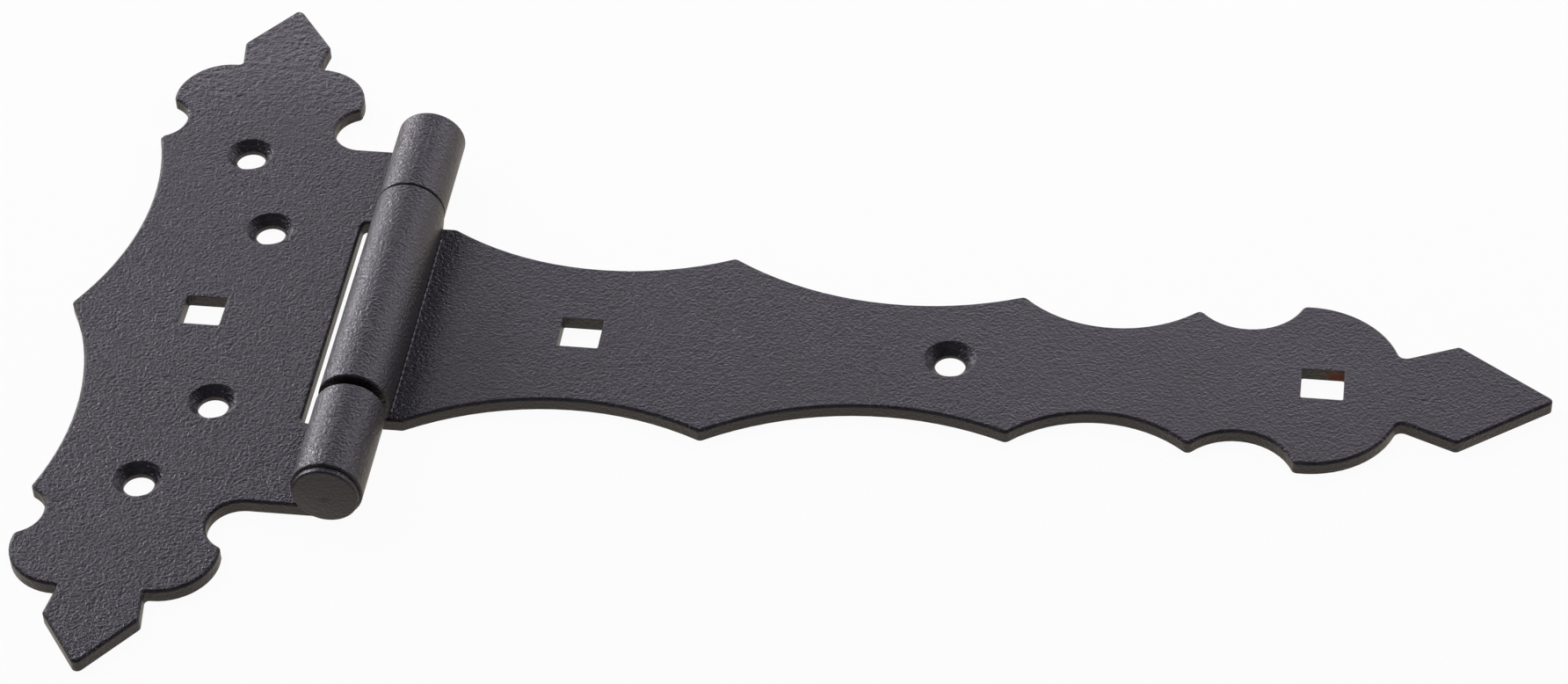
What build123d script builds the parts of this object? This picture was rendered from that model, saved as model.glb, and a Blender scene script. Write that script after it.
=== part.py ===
from build123d import *
import math
import os

# Ornamental T-hinge of flat steel: a cross leaf for the post and a scalloped strap for the gate.
# The knuckles of both leaves are rolled from the leaf's own sheet, round one riveted pin.
# Millimetres. The backs of both leaves lie on z = 0 and the knuckles stand up on the face side.
# The pin runs along Y above x = 0, and y = 0 is the middle of the cross leaf.

# Sheet, knuckles and pin
sheet = 3.0
pin_diameter = 9.0
pin_play = 0.08
seam_gap = 0.3
roll_tail_angle = 8.0
barrel_length = 114.0
strap_knuckle_length = 62.0
far_end_play = 0.2
near_end_play = 2.4
knuckle_chamfer = 0.3
pin_head_diameter = 14.0
pin_head_rim = 1.3
pin_head_height = 2.1
peened_end_diameter = 12.4
peened_end_rim = 0.3
peened_end_height = 1.2
pin_end_chamfer = 0.3

# Rounding of the outlines, seen from above, and easing of the upper rim
corner_radius = 1.3
root_radius = 1.0
strap_waist_radius = 1.8
rim_chamfer = 0.5

# Strap: runs along it from one feature to the next, full widths, depths of the scallops and bulge of the disc
strap_neck_run = 10.0
scallop_1_run = 63.0
scallop_2_run = 64.0
scallop_3_run = 38.0
scallop_4_run = 22.0
disc_run = 21.0
point_run = 12.4
tip_run = 20.5
strap_cusp_1_width = 55.4
strap_cusp_2_width = 43.2
strap_cusp_3_width = 42.4
strap_disc_width = 48.8
strap_waist_width = 19.2
strap_point_width = 30.0
scallop_1_depth = 8.2
scallop_2_depth = 8.0
scallop_3_depth = 7.8
scallop_4_depth = 6.6
disc_bulge = 4.7

# Cross leaf: x distances are to the left of the pin, rises are along the pin from one feature to the next
spear_axis_x = 41.6
leaf_reach = 69.4
leaf_corner_inset = 5.9
leaf_scallop_depth = 6.1
ear_notch_radius = 7.0
ear_notch_clearance = 2.3
crown_rise = 15.8
crown_width = 44.0
crown_height = 23.6
spear_neck_width = 18.0
spear_shoulder_width = 20.2
spear_shoulder_rise = 8.0
spear_point_rise = 13.6
knuckle_notch_depth = 11.3
knuckle_notch_radius = 1.5

# Holes
bolt_square = 9.0
bolt_corner_radius = 0.4
leaf_bolt_x = 40.0
strap_near_bolt_x = 43.0
disc_bolt_inset = 5.0
screw_diameter = 6.6
countersink_angle = 90.0
leaf_countersink_diameter = 10.6
leaf_outer_screw_x = 41.6
leaf_outer_screw_y = 52.8
leaf_inner_screw_x = 31.5
leaf_inner_screw_y = 28.0
strap_countersink_diameter = 11.2
cusp_2_screw_inset = 14.0

# Sizes that follow from the ones above
bore_radius = pin_diameter / 2 + pin_play
knuckle_radius = bore_radius + sheet
pin_height = knuckle_radius
barrel_end = barrel_length / 2
knuckle_notch_length = far_end_play + strap_knuckle_length + near_end_play
strap_y = (near_end_play - far_end_play) / 2
strap_cusp_1_x = strap_neck_run + scallop_1_run
strap_cusp_2_x = strap_cusp_1_x + scallop_2_run
strap_cusp_3_x = strap_cusp_2_x + scallop_3_run
strap_disc_x = strap_cusp_3_x + scallop_4_run
strap_waist_x = strap_disc_x + disc_run
strap_point_x = strap_waist_x + point_run
strap_tip_x = strap_point_x + tip_run
strap_screw_x = strap_cusp_2_x - cusp_2_screw_inset
strap_far_bolt_x = strap_disc_x + disc_bolt_inset
leaf_knuckle_length = barrel_end - knuckle_notch_length / 2
leaf_knuckle_y = barrel_end - leaf_knuckle_length / 2
ear_notch_offset = crown_width / 2 + ear_notch_clearance
ear_notch_y = barrel_end + ear_notch_radius
crown_lobe_offset = (crown_width - crown_height) / 2
crown_y = barrel_end + crown_rise
crown_top_y = crown_y + crown_height / 2
spear_shoulder_y = crown_top_y + spear_shoulder_rise
spear_tip_y = spear_shoulder_y + spear_point_rise
through = 3 * sheet

same_place = 0.001
hardly_turning = 0.1


def mirrored_pair(x, y):
    return [(x, y), (x, -y)]


def round_corners(face, places, radius):
    corners = ShapeList(face.vertices().sort_by_distance((x, y, 0))[0] for x, y in places)
    return fillet(corners, radius)


def sharp_corners(face):
    # The corners where the outline turns, without those at the foot of a knuckle.
    corners = ShapeList()
    for corner in face.vertices().filter_by(lambda vertex: abs(vertex.X) > same_place):
        directions = []
        for edge in face.edges():
            for end in (0, 1):
                if (edge.position_at(end) - corner.center()).length < same_place:
                    directions.append(edge.tangent_at(end))
        if directions[0].cross(directions[1]).length > hardly_turning:
            corners.append(corner)
    return corners


def flat_leaf(outline):
    # The sheet, with its corners rounded and its upper rim eased all round, up to the knuckles.
    outline = fillet(sharp_corners(outline), corner_radius)
    plate = extrude(outline, sheet)
    rim = plate.faces().sort_by(Axis.Z)[-1].outer_wire().edges()
    rim = rim.filter_by(lambda edge: abs(edge.center().X) > same_place)
    return chamfer(rim, rim_chamfer)


def from_pin(place):
    return math.hypot(place.X, place.Z - pin_height)


def roll_end(radius, lip, leaf_side):
    # Where one skin of the roll stops being round, and where its straight tail comes down to the lip.
    angle = math.radians(roll_tail_angle)
    round_x = radius * math.cos(angle)
    round_z = pin_height - radius * math.sin(angle)
    tail_x = round_x - (round_z - lip) * math.tan(angle)
    return (leaf_side * round_x, round_z), (leaf_side * tail_x, lip)


def rolled_knuckle(length, middle, leaf_side):
    # The sheet passes under the pin, up the far side and over, and its free edge comes down on the leaf.
    lip = sheet + seam_gap
    outer_end, outer_lip = roll_end(knuckle_radius, lip, leaf_side)
    inner_end, inner_lip = roll_end(bore_radius, lip, leaf_side)
    section = make_face(
        [
            ThreePointArc((0, 0), (-leaf_side * knuckle_radius, pin_height), outer_end),
            Line(outer_end, outer_lip),
            Line(outer_lip, inner_lip),
            Line(inner_lip, inner_end),
            ThreePointArc(inner_end, (-leaf_side * bore_radius, pin_height), (0, sheet)),
            Line((0, sheet), (0, 0)),
        ]
    )
    roll = extrude(Plane.XZ * section, length / 2, both=True)
    by_place = roll.edges().group_by(Axis.Y)
    ends = by_place[0] + by_place[-1]
    outer_ends = ends.filter_by(lambda edge: from_pin(edge.position_at(0.5)) > knuckle_radius - same_place)
    return Pos(0, middle, 0) * chamfer(outer_ends, knuckle_chamfer)


def bolt_hole(x):
    # Square hole for the square neck of a carriage bolt.
    square = RectangleRounded(bolt_square, bolt_square, bolt_corner_radius)
    return Pos(x, 0, sheet / 2) * extrude(square, through, both=True)


def with_screw_holes(leaf, places, countersink_diameter):
    hole = CounterSinkHole(screw_diameter / 2, countersink_diameter / 2, through, countersink_angle)
    for x, y in places:
        leaf -= Pos(x, y, sheet) * hole
    return leaf


def strap_outline():
    knuckle_half = strap_knuckle_length / 2
    neck = (strap_neck_run, knuckle_half)
    cusp_1 = (strap_cusp_1_x, strap_cusp_1_width / 2)
    cusp_2 = (strap_cusp_2_x, strap_cusp_2_width / 2)
    cusp_3 = (strap_cusp_3_x, strap_cusp_3_width / 2)
    disc = (strap_disc_x, strap_disc_width / 2)
    waist = (strap_waist_x, strap_waist_width / 2)
    point = (strap_point_x, strap_point_width / 2)
    half = Curve() + [
        Line((0, knuckle_half), neck),
        SagittaArc(neck, cusp_1, -scallop_1_depth),
        SagittaArc(cusp_1, cusp_2, -scallop_2_depth),
        SagittaArc(cusp_2, cusp_3, -scallop_3_depth),
        SagittaArc(cusp_3, disc, -scallop_4_depth),
        SagittaArc(disc, waist, disc_bulge),
        Line(waist, point),
        Line(point, (strap_tip_x, 0)),
    ]
    foot = Line((0, knuckle_half), (0, -knuckle_half))
    outline = make_face(half.edges() + mirror(half, about=Plane.XZ).edges() + foot.edges())
    return round_corners(outline, mirrored_pair(*waist), strap_waist_radius)


def strap_leaf():
    leaf = flat_leaf(strap_outline())
    leaf += rolled_knuckle(strap_knuckle_length, 0, leaf_side=1)
    leaf -= bolt_hole(strap_near_bolt_x)
    leaf -= bolt_hole(strap_far_bolt_x)
    leaf = with_screw_holes(leaf, [(strap_screw_x, 0)], strap_countersink_diameter)
    return Pos(0, strap_y, 0) * leaf


def spear_foot_y():
    # Where the spear leaves the crown: on its flat top, or on the round of a lobe if the neck is wider than the flat.
    past_flat = max(0, spear_neck_width / 2 - crown_lobe_offset)
    return crown_y + math.sqrt((crown_height / 2) ** 2 - past_flat**2)


def spear(side):
    neck = spear_neck_width / 2
    shoulder = spear_shoulder_width / 2
    foot_y = spear_foot_y()
    corners = [(neck, crown_y), (neck, foot_y), (shoulder, spear_shoulder_y), (0, spear_tip_y)]
    corners += [(-shoulder, spear_shoulder_y), (-neck, foot_y), (-neck, crown_y)]
    outline = Polyline([(x - spear_axis_x, side * y) for x, y in corners], close=True)
    return make_face(outline)


def ear_notch(ear, side):
    # Round-ended notch that runs in from the side, between the body and the crown.
    run = leaf_reach
    middle = -spear_axis_x + ear * (ear_notch_offset + run / 2)
    return Pos(middle, side * ear_notch_y) * SlotCenterToCenter(run, 2 * ear_notch_radius)


def leaf_scallop(side):
    # The circle whose arc hollows the left edge from the cusp in its middle to the corner at the ear notch.
    cusp = (-leaf_reach, 0)
    corner = (leaf_corner_inset - leaf_reach, side * barrel_end)
    arc = SagittaArc(cusp, corner, -side * leaf_scallop_depth)
    return Pos(arc.arc_center) * Circle(arc.radius)


def cross_outline():
    outline = Rectangle(leaf_reach, 2 * ear_notch_y, align=(Align.MAX, Align.CENTER))
    outline += Pos(-spear_axis_x, 0) * Rectangle(2 * crown_lobe_offset, 2 * crown_y)
    for side in (-1, 1):
        outline += Pos(-spear_axis_x, side * crown_y) * SlotOverall(crown_width, crown_height)
        outline += spear(side)
    for side in (-1, 1):
        outline -= leaf_scallop(side)
        outline -= ear_notch(-1, side)
        outline -= ear_notch(1, side)
    outline -= Rectangle(knuckle_notch_depth, knuckle_notch_length, align=(Align.MAX, Align.CENTER))
    notch_corners = mirrored_pair(-knuckle_notch_depth, knuckle_notch_length / 2)
    outline = round_corners(outline, notch_corners, knuckle_notch_radius)
    join_room = crown_lobe_offset - spear_neck_width / 2
    join_radius = min(root_radius, 0.8 * join_room) if join_room > 0 else root_radius
    joins = mirrored_pair(-spear_axis_x - spear_neck_width / 2, spear_foot_y())
    joins += mirrored_pair(-spear_axis_x + spear_neck_width / 2, spear_foot_y())
    return round_corners(outline, joins, join_radius)


def cross_leaf():
    leaf = flat_leaf(cross_outline())
    for side in (-1, 1):
        leaf += rolled_knuckle(leaf_knuckle_length, side * leaf_knuckle_y, leaf_side=-1)
    leaf -= bolt_hole(-leaf_bolt_x)
    screws = mirrored_pair(-leaf_outer_screw_x, leaf_outer_screw_y)
    screws += mirrored_pair(-leaf_inner_screw_x, leaf_inner_screw_y)
    return with_screw_holes(leaf, screws, leaf_countersink_diameter)


def pin_end(diameter, rim, height):
    # Half section from the middle of the shaft to one end: the rim of the head, a chamfer and a low dome.
    shaft = pin_diameter / 2
    head = diameter / 2
    rim_y = barrel_end + rim
    dome_edge = (head - pin_end_chamfer, rim_y + pin_end_chamfer)
    return Curve() + [
        Line((shaft, 0), (shaft, barrel_end)),
        Line((shaft, barrel_end), (head, barrel_end)),
        Line((head, barrel_end), (head, rim_y)),
        Line((head, rim_y), dome_edge),
        TangentArc((0, barrel_end + height), dome_edge, tangent=(1, 0)),
    ]


def hinge_pin():
    # Rivet with a formed head at the near end, and peened low over the far end of the barrel.
    far_end = pin_end(peened_end_diameter, peened_end_rim, peened_end_height)
    near_end = mirror(pin_end(pin_head_diameter, pin_head_rim, pin_head_height), about=Plane.XZ)
    axis = Line((0, -barrel_end - pin_head_height), (0, barrel_end + peened_end_height))
    section = make_face(far_end.edges() + near_end.edges() + axis.edges())
    return Pos(0, 0, pin_height) * revolve(section, Axis.Y)


os.makedirs("parts", exist_ok=True)
export_step(cross_leaf(), "parts/cross_leaf.step")
export_step(strap_leaf(), "parts/strap_leaf.step")
export_step(hinge_pin(), "parts/hinge_pin.step")
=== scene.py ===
import math

import bpy
from mathutils import Matrix, Vector


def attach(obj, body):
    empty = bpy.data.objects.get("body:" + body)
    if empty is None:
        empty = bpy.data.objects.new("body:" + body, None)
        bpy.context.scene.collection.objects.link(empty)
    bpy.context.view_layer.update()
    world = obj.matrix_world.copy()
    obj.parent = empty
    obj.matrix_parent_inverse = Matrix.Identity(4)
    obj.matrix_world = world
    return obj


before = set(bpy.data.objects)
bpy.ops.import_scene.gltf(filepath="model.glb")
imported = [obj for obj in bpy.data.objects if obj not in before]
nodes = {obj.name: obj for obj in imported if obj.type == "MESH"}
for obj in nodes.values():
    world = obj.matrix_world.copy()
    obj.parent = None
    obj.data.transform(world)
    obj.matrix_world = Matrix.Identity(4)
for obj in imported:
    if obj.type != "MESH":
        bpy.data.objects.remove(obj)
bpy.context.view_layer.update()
scene = bpy.context.scene
print("frame loaded:", sorted(nodes))


def mm(value):
    return value / 1000.0


def hexColour(code):
    # sRGB hex to the linear colour that shader sockets take
    parts = [int(code[i:i + 2], 16) / 255.0 for i in (1, 3, 5)]
    linear = [p / 12.92 if p <= 0.04045 else ((p + 0.055) / 1.055) ** 2.4 for p in parts]
    return (*linear, 1.0)


def addNode(tree, kind, inputs=None, **settings):
    # one node: settings are its own options, inputs are values or sockets to link from
    node = tree.nodes.new(kind)
    for key, value in settings.items():
        setattr(node, key, value)
    for key, value in (inputs or {}).items():
        if isinstance(value, bpy.types.NodeSocket):
            tree.links.new(value, node.inputs[key])
        else:
            node.inputs[key].default_value = value
    return node


def newMaterial(name):
    material = bpy.data.materials.new(name)
    material.use_nodes = True
    material.node_tree.nodes.clear()
    return material, material.node_tree


# Powder-coated steel: baked polymer powder over flat bar, a satin black with a fine wrinkled skin.
# It gives the eye a grey sheen broken into a grain, and edges that stay soft because the coat rounds them.
coat = {
    "black": "#18161a",          # the coat itself
    "blackPaintedReflection": "#231e1a",      # browner on upright surfaces: a painted reflection of the warm floor, not the coat's own colour
    "rough": 0.34,
    "grainMm": 0.65,             # width of one wrinkle
    "grainDepthMm": 0.25,        # a real wrinkle is some hundredths deep, drawn deeper so that it shows from here
    "coarseMm": 1.5,             # orange peel where the powder went on thick
    "coarseDepthMm": 1.0,        # drawn deeper than real as well
    "patchMm": 30.0,             # slow change of sheen along the bar
    "edgeMm": 0.45,              # how far the coat rounds an edge
    "wallTurn": (0.05, 0.5),     # how far a surface faces up: all wall below the first, all face above the second
    "patchRange": (0.3, 0.7),    # the part of the slow noise that the sheen follows
    "roughSwing": 0.03,          # how far the sheen strays from rough
    "fray": 1.2,                 # how much the grain frays the rim of a spot
    "rim": (0.9, 1.65),          # where a frayed spot starts and stops fading, in its own half sizes
}
mixSocket = {"floatA": 2, "floatB": 3, "colourA": 6, "colourB": 7, "colourOut": 2}  # they share names, so go by number


def powderCoat(name, marks):
    material, tree = newMaterial(name)
    place = addNode(tree, "ShaderNodeTexCoord").outputs["Object"]
    grain = addNode(tree, "ShaderNodeTexNoise", {
        "Vector": place, "Scale": 1000.0 / coat["grainMm"], "Detail": 2.0, "Roughness": 0.5, "Distortion": 0.4})
    patch = addNode(tree, "ShaderNodeTexNoise", {"Vector": place, "Scale": 1000.0 / coat["patchMm"], "Detail": 2.0})
    rounded = addNode(tree, "ShaderNodeBevel", {"Radius": mm(coat["edgeMm"])}, samples=2)
    skin = addNode(tree, "ShaderNodeBump", {
        "Height": grain.outputs["Fac"], "Distance": mm(coat["grainDepthMm"] * marks["wrinkle"]), "Strength": 1.0,
        "Normal": rounded.outputs["Normal"]})

    # upright surfaces, the cut walls and the barrel's flanks, take a browner colour: a painted reflection of the warm
    # floor
    facing = addNode(tree, "ShaderNodeSeparateXYZ", {"Vector": addNode(tree, "ShaderNodeTexCoord").outputs["Normal"]})
    upright = addNode(tree, "ShaderNodeMath", {0: facing.outputs["Z"]}, operation="ABSOLUTE")
    reflectionShare = addNode(tree, "ShaderNodeMapRange", {
        "Value": upright.outputs[0], "From Min": coat["wallTurn"][0], "From Max": coat["wallTurn"][1],
        "To Min": 1.0, "To Max": 0.0})
    face, paintedWallReflection = marks.get("colour", coat["black"]), marks.get("paintedWallReflection", coat["blackPaintedReflection"])
    colour = addNode(tree, "ShaderNodeMix", {
        "Factor": reflectionShare.outputs[0], mixSocket["colourA"]: hexColour(face),
        mixSocket["colourB"]: hexColour(paintedWallReflection)}, data_type="RGBA")

    if "peel" in marks:  # thicker, coarser coat from one place to another along the pin's direction
        where = addNode(tree, "ShaderNodeSeparateXYZ", {"Vector": place}).outputs
        coarse = addNode(tree, "ShaderNodeTexNoise", {
            "Vector": place, "Scale": 1000.0 / coat["coarseMm"], "Detail": 3.0, "Roughness": 0.6})
        share = addNode(tree, "ShaderNodeMapRange", {
            "Value": where["Y"], "From Min": mm(marks["peel"][0]), "From Max": mm(marks["peel"][1]),
            "To Min": 0.0, "To Max": 1.0})
        skin = addNode(tree, "ShaderNodeBump", {
            "Height": coarse.outputs["Fac"], "Distance": mm(coat["coarseDepthMm"]), "Strength": share.outputs[0],
            "Normal": skin.outputs["Normal"]})
    rough = addNode(tree, "ShaderNodeMapRange", {
        "Value": patch.outputs["Fac"], "From Min": coat["patchRange"][0], "From Max": coat["patchRange"][1],
        "To Min": coat["rough"] - coat["roughSwing"], "To Max": coat["rough"] + coat["roughSwing"]})
    tint, sheen = colour.outputs[mixSocket["colourOut"]], rough.outputs[0]
    for spot in marks.get("spots", {}).values():  # wear, making marks and the painted shade of the pits: each spot is an ellipsoid with a ragged rim
        local = addNode(tree, "ShaderNodeMapping", {
            "Vector": place, "Location": [mm(v) for v in spot["at"]], "Rotation": (0, 0, math.radians(spot["turn"])),
            "Scale": [mm(v) for v in spot["half"]]}, vector_type="TEXTURE")
        reach = addNode(tree, "ShaderNodeVectorMath", {0: local.outputs[0]}, operation="LENGTH")
        ragged = addNode(tree, "ShaderNodeMath", {
            0: grain.outputs["Fac"], 1: coat["fray"], 2: reach.outputs["Value"]}, operation="MULTIPLY_ADD")
        mask = addNode(tree, "ShaderNodeMapRange", {
            "Value": ragged.outputs[0], "From Min": coat["rim"][0], "From Max": coat["rim"][1],
            "To Min": spot["amount"], "To Max": 0.0})
        tinted = addNode(tree, "ShaderNodeMix", {
            "Factor": mask.outputs[0], mixSocket["colourA"]: tint,
            mixSocket["colourB"]: hexColour(spot["colour"])}, data_type="RGBA")
        tint = tinted.outputs[mixSocket["colourOut"]]
        sheen = addNode(tree, "ShaderNodeMix", {
            "Factor": mask.outputs[0], mixSocket["floatA"]: sheen, mixSocket["floatB"]: spot["rough"]}).outputs[0]
        skin = addNode(tree, "ShaderNodeBump", {
            "Height": mask.outputs[0], "Distance": mm(spot["deep"]), "Strength": 1.0,
            "Normal": skin.outputs["Normal"]}, invert=True)
    shader = addNode(tree, "ShaderNodeBsdfPrincipled", {
        "Base Color": tint, "Roughness": sheen, "Normal": skin.outputs["Normal"]})
    addNode(tree, "ShaderNodeOutputMaterial", {"Surface": shader.outputs[0]})
    return material


# what wear and making left on each piece; places and half sizes in mm, deep is how far the coat dips there
crossLeaf = {
    "wrinkle": 1.3,
    "peel": (56.0, 88.0),
    "spots": {
        # pit: the coat dips there, and its colour, darker than the coat's black, is painted shade in the hollow
        "pitPaintedShade": {"at": (-48.66, 72.64, 3.0), "half": (0.9, 0.5, 1.0), "turn": 20, "colour": "#08070a", "amount": 1.0,
                "rough": 0.6, "deep": 0.4},
        "rollLine": {"at": (1.5, 47.0, 15.1), "half": (0.3, 9.5, 1.2), "turn": 0, "colour": "#4e4a50", "amount": 0.7,
                     "rough": 0.34, "deep": 0.05},
    },
}
strap = {
    "wrinkle": 1.4,
    "spots": {
        # pit: the coat dips there, and its colour, darker than the coat's black, is painted shade in the hollow
        "pitPaintedShade": {"at": (223.44, -1.86, 3.0), "half": (0.9, 0.5, 1.0), "turn": -15, "colour": "#08070a", "amount": 1.0,
                "rough": 0.6, "deep": 0.4},
        "speck": {"at": (75.84, 5.16, 3.0), "half": (0.3, 0.24, 0.8), "turn": 0, "colour": "#94918d", "amount": 1.0,
                  "rough": 0.5, "deep": 0.0},
        "edgeSpeck": {"at": (50.42, 22.13, 2.9), "half": (0.6, 0.5, 0.8), "turn": 0, "colour": "#c4bfb8", "amount": 1.0,
                      "rough": 0.5, "deep": 0.0},
        "nick": {"at": (138.2, 21.4, 2.8), "half": (1.3, 0.8, 1.4), "turn": 0, "colour": "#2e1c14", "amount": 1.0,
                 "rough": 0.7, "deep": 0.3},
        "rust": {"at": (204.9, 5.6, 1.3), "half": (2.8, 0.7, 1.5), "turn": 0, "colour": "#98563a", "amount": 1.0,
                 "rough": 0.85, "deep": 0.1},
    },
}
# the pin gets no painted wall reflection: its upright surfaces keep the coat's black
pin = {"wrinkle": 1.0, "paintedWallReflection": coat["black"]}
for name, marks in (("cross_leaf", crossLeaf), ("strap_leaf", strap), ("hinge_pin", pin)):
    material = powderCoat("powderCoatedSteel_" + name, marks)
    for slot in nodes[name].material_slots:
        slot.material = material
print("coat on:", sorted(nodes))

# Bead of powder along the seam where the rolled end of the strap comes down on its own plate: a broken line, made pale
# by a painted highlight
bead = {
    "fromMm": (7.3, -28.0, 3.1), "lengthMm": 56.0, "radiusMm": 0.34, "stepMm": 0.25, "sides": 8,
    # the bead's pale grey is a painted highlight, lighter than the coat's black
    "colour": "#77737a",
    "even": 0.6,                                    # mean share of the radius
    "lumps": ((0.24, 3.1, 0.0), (0.16, 7.3, 1.0)),  # swing either side of it, radians per mm, start
    "tip": 0.05,                                    # share of the radius at both ends
}
rings = int(bead["lengthMm"] / bead["stepMm"]) + 1
points, faces = [], []
for i in range(rings):
    along = i * bead["stepMm"]
    lump = bead["even"]
    for size, rate, start in bead["lumps"]:
        lump += size * math.sin(rate * along + start)
    wide = mm(bead["radiusMm"]) * (bead["tip"] if i in (0, rings - 1) else lump)
    for k in range(bead["sides"]):
        angle = 2 * math.pi * k / bead["sides"]
        points.append((mm(bead["fromMm"][0]) + wide * math.cos(angle), mm(bead["fromMm"][1] + along),
                       mm(bead["fromMm"][2]) + wide * math.sin(angle)))
for i in range(rings - 1):
    for k in range(bead["sides"]):
        a, b = i * bead["sides"] + k, i * bead["sides"] + (k + 1) % bead["sides"]
        faces.append((a, a + bead["sides"], b + bead["sides"], b))
faces.append(tuple(range(bead["sides"])))
faces.append(tuple(reversed(range((rings - 1) * bead["sides"], rings * bead["sides"]))))
beadMesh = bpy.data.meshes.new("seamBead")
beadMesh.from_pydata(points, [], faces)
beadMesh.shade_smooth()
seamBead = bpy.data.objects.new("seamBead", beadMesh)
scene.collection.objects.link(seamBead)
beadMesh.materials.append(powderCoat("powderCoatedSteel_beadPaintedHighlight", {"wrinkle": 0.3, "colour": bead["colour"]}))
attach(seamBead, "gate_strap")
print("bead laid:", len(faces), "faces")

# Floor: a sheet of matt white board. To the camera most of it is clear, so that the white behind it and a strap swung
# down through it both show, and what is left keeps a faint shadow. Light passes it, so that strap is lit as well.
# Gloss sees three parts white and one part lit board.
floorLook = {
    "sizeM": 12.0, "dropMm": 0.05,  # it lies just under the leaves' backs
    "white": "#fbf5ee", "clear": 0.95, "toGloss": 0.75, "gloss": "#fff6ea",
}
floorMesh = bpy.data.meshes.new("floor")
half = floorLook["sizeM"] / 2
floorMesh.from_pydata([(-half, -half, 0), (half, -half, 0), (half, half, 0), (-half, half, 0)], [], [(0, 1, 2, 3)])
floor = bpy.data.objects.new("floor", floorMesh)
floor.location = (0, 0, -mm(floorLook["dropMm"]))
scene.collection.objects.link(floor)
board, tree = newMaterial("mattWhiteBoard")
path = addNode(tree, "ShaderNodeLightPath").outputs
mirrored = addNode(tree, "ShaderNodeMath", {
    0: path["Is Glossy Ray"], 1: path["Is Transmission Ray"]}, operation="MAXIMUM")
byCamera = addNode(tree, "ShaderNodeMath", {0: path["Is Camera Ray"], 1: floorLook["clear"]}, operation="MULTIPLY")
through = addNode(tree, "ShaderNodeMath", {0: byCamera.outputs[0], 1: path["Is Shadow Ray"]}, operation="MAXIMUM")
byGloss = addNode(tree, "ShaderNodeMath", {0: mirrored.outputs[0], 1: floorLook["toGloss"]}, operation="MULTIPLY")
matt = addNode(tree, "ShaderNodeBsdfDiffuse", {"Color": hexColour(floorLook["white"])})
clear = addNode(tree, "ShaderNodeBsdfTransparent")
glow = addNode(tree, "ShaderNodeEmission", {"Color": hexColour(floorLook["gloss"]), "Strength": 1.0})
seen = addNode(tree, "ShaderNodeMixShader", {0: through.outputs[0], 1: matt.outputs[0], 2: clear.outputs[0]})
mixed = addNode(tree, "ShaderNodeMixShader", {0: byGloss.outputs[0], 1: seen.outputs[0], 2: glow.outputs[0]})
addNode(tree, "ShaderNodeOutputMaterial", {"Surface": mixed.outputs[0]})
floorMesh.materials.append(board)
print("floor laid")

# Light: soft boxes high, in the middle and low on the left that light the flank of the barrel, a wide low one on the
# right, one behind for the tops, a long strip behind for the far edges and a small one close over the strap's point,
# with dim fills in front and overhead for the other sides. The bearing is from +Y towards -X and the rise from level,
# in degrees, away and size are in metres, and glow is the lamp's brightness with white board at 1.
lamps = {
    "leftHigh": {"bearing": 68, "rise": 42, "away": 2.5, "size": (0.8, 0.66), "glow": 9.0, "tint": "#f6efff"},
    "leftMiddle": {"bearing": 48, "rise": 42, "away": 2.5, "size": (0.5, 0.66), "glow": 3.5, "tint": "#f6efff"},
    "leftLow": {"bearing": 48, "rise": 12, "away": 2.5, "size": (0.64, 0.66), "glow": 23.0, "tint": "#faf6ff"},
    "leftBack": {"bearing": 22, "rise": 30, "away": 2.5, "size": (0.59, 0.66), "glow": 5.5, "tint": "#f6f2ff"},
    "backStrip": {"bearing": 5, "rise": 4, "away": 2.5, "size": (2.1, 0.35), "glow": 5.0, "tint": "#f6efff"},
    "overPoint": {"bearing": -27.8, "rise": 40, "away": 0.56, "size": (0.3, 0.16), "glow": 3.8, "tint": "#f6efff"},
    "rightLow": {"bearing": -45, "rise": 17, "away": 2.5, "size": (2.6, 0.65), "glow": 3.4, "tint": "#f6efff"},
    "frontFill": {"bearing": 180, "rise": 17, "away": 2.5, "size": (3.4, 0.8), "glow": 0.9, "tint": "#f2f0ff"},
    "topFill": {"bearing": 0, "rise": 87, "away": 2.5, "size": (1.4, 1.4), "glow": 0.7, "tint": "#f2f0ff"},
}
for name, lamp in lamps.items():
    data = bpy.data.lights.new(name, "AREA")
    data.shape = "RECTANGLE"
    data.size, data.size_y = lamp["size"]
    data.energy = lamp["glow"] * math.pi * data.size * data.size_y
    data.color = hexColour(lamp["tint"])[:3]
    bearing, rise = math.radians(lamp["bearing"]), math.radians(lamp["rise"])
    toLamp = Vector((-math.sin(bearing) * math.cos(rise), math.cos(bearing) * math.cos(rise), math.sin(rise)))
    light = bpy.data.objects.new(name, data)
    light.location = toLamp * lamp["away"]
    light.visible_camera = False
    light.rotation_euler = toLamp.to_track_quat("Z", "Y").to_euler()
    scene.collection.objects.link(light)

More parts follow.
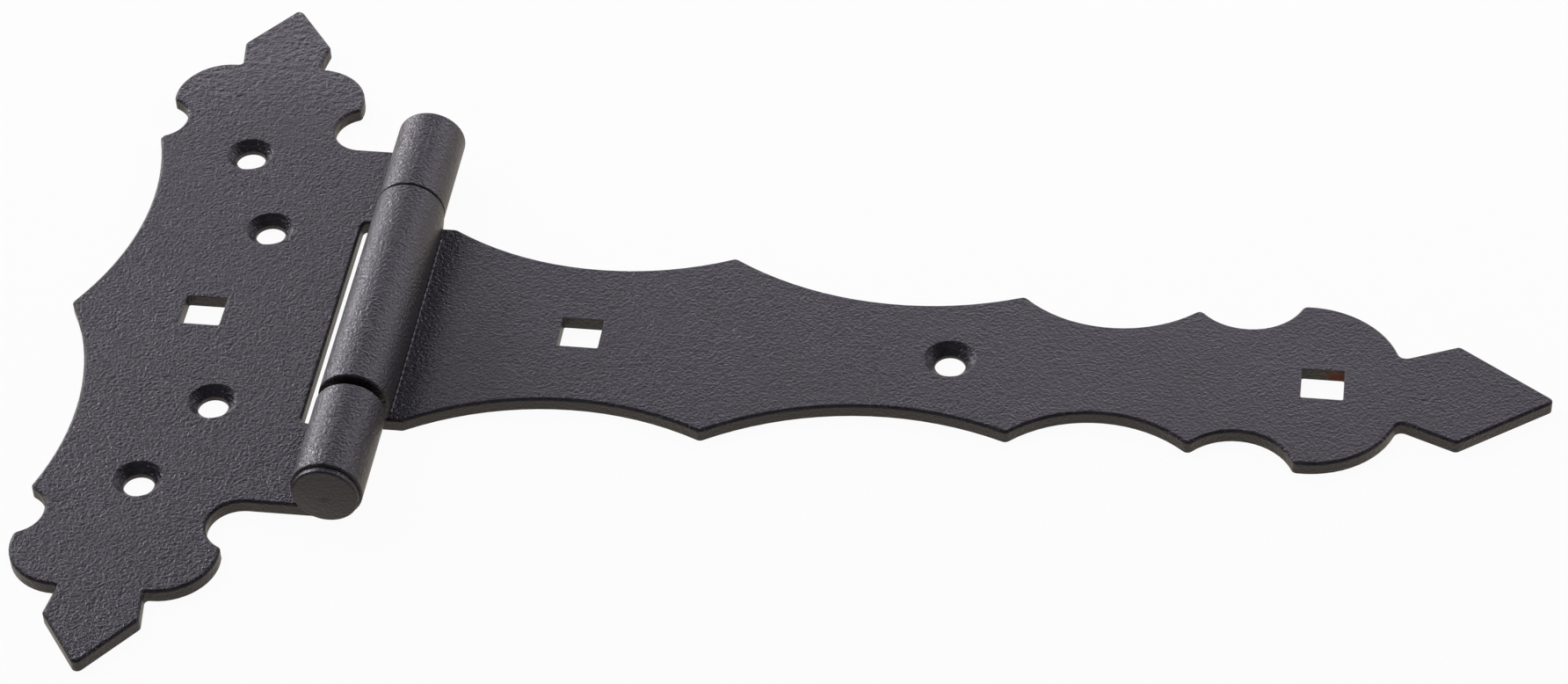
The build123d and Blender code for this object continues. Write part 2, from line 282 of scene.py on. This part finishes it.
# Room: dim walls, brighter low down, over a white backdrop. The camera sees the backdrop all round, gloss and glass
# see it below the horizon, where the photograph's background lies, and the walls above that.
room = {"high": 0.1, "low": 0.2, "lowTop": 0.35, "tint": "#eeebff", "backdrop": "#ffffff"}
world = bpy.data.worlds.new("room")
world.use_nodes = True
world.node_tree.nodes.clear()
tree = world.node_tree
toward = addNode(tree, "ShaderNodeSeparateXYZ", {"Vector": addNode(tree, "ShaderNodeTexCoord").outputs["Generated"]})
strength = addNode(tree, "ShaderNodeMapRange", {
    "Value": toward.outputs["Z"], "From Min": 0.0, "From Max": room["lowTop"],
    "To Min": room["low"], "To Max": room["high"]})
walls = addNode(tree, "ShaderNodeBackground", {"Color": hexColour(room["tint"]), "Strength": strength.outputs[0]})
backdrop = addNode(tree, "ShaderNodeBackground", {"Color": hexColour(room["backdrop"]), "Strength": 1.0})
path = addNode(tree, "ShaderNodeLightPath").outputs
mirrored = addNode(tree, "ShaderNodeMath", {
    0: path["Is Glossy Ray"], 1: path["Is Transmission Ray"]}, operation="MAXIMUM")
below = addNode(tree, "ShaderNodeMath", {0: toward.outputs["Z"], 1: 0.0}, operation="LESS_THAN")
mirroredBelow = addNode(tree, "ShaderNodeMath", {0: mirrored.outputs[0], 1: below.outputs[0]}, operation="MULTIPLY")
white = addNode(tree, "ShaderNodeMath", {
    0: path["Is Camera Ray"], 1: mirroredBelow.outputs[0]}, operation="MAXIMUM")
shown = addNode(tree, "ShaderNodeMixShader", {0: white.outputs[0], 1: walls.outputs[0], 2: backdrop.outputs[0]})
addNode(tree, "ShaderNodeOutputWorld", {"Surface": shown.outputs[0]})
scene.world = world
print("lamps set:", sorted(lamps))

# Camera: the photograph's own place and lens, found from the outline and the holes
view = {
    "eyeMm": (198.23, -679.75, 635.19), "lookMm": (87.06, 2.64, 3.0), "rollDeg": -2.32,
    "lens": 100.34, "sensorMm": 36.0, "nearM": 0.05,
}
cameraData = bpy.data.cameras.new("camera")
cameraData.sensor_fit = "HORIZONTAL"
cameraData.sensor_width = view["sensorMm"]
cameraData.lens = view["lens"]
cameraData.clip_start = view["nearM"]
camera = bpy.data.objects.new("camera", cameraData)
eye = Vector([mm(v) for v in view["eyeMm"]])
look = Vector([mm(v) for v in view["lookMm"]])
turn = (look - eye).to_track_quat("-Z", "Y").to_matrix().to_4x4()
camera.matrix_world = Matrix.Translation(eye) @ turn @ Matrix.Rotation(math.radians(view["rollDeg"]), 4, "Z")
scene.collection.objects.link(camera)
scene.camera = camera
scene.view_settings.view_transform = "Standard"
print("camera set")

bpy.context.view_layer.update()
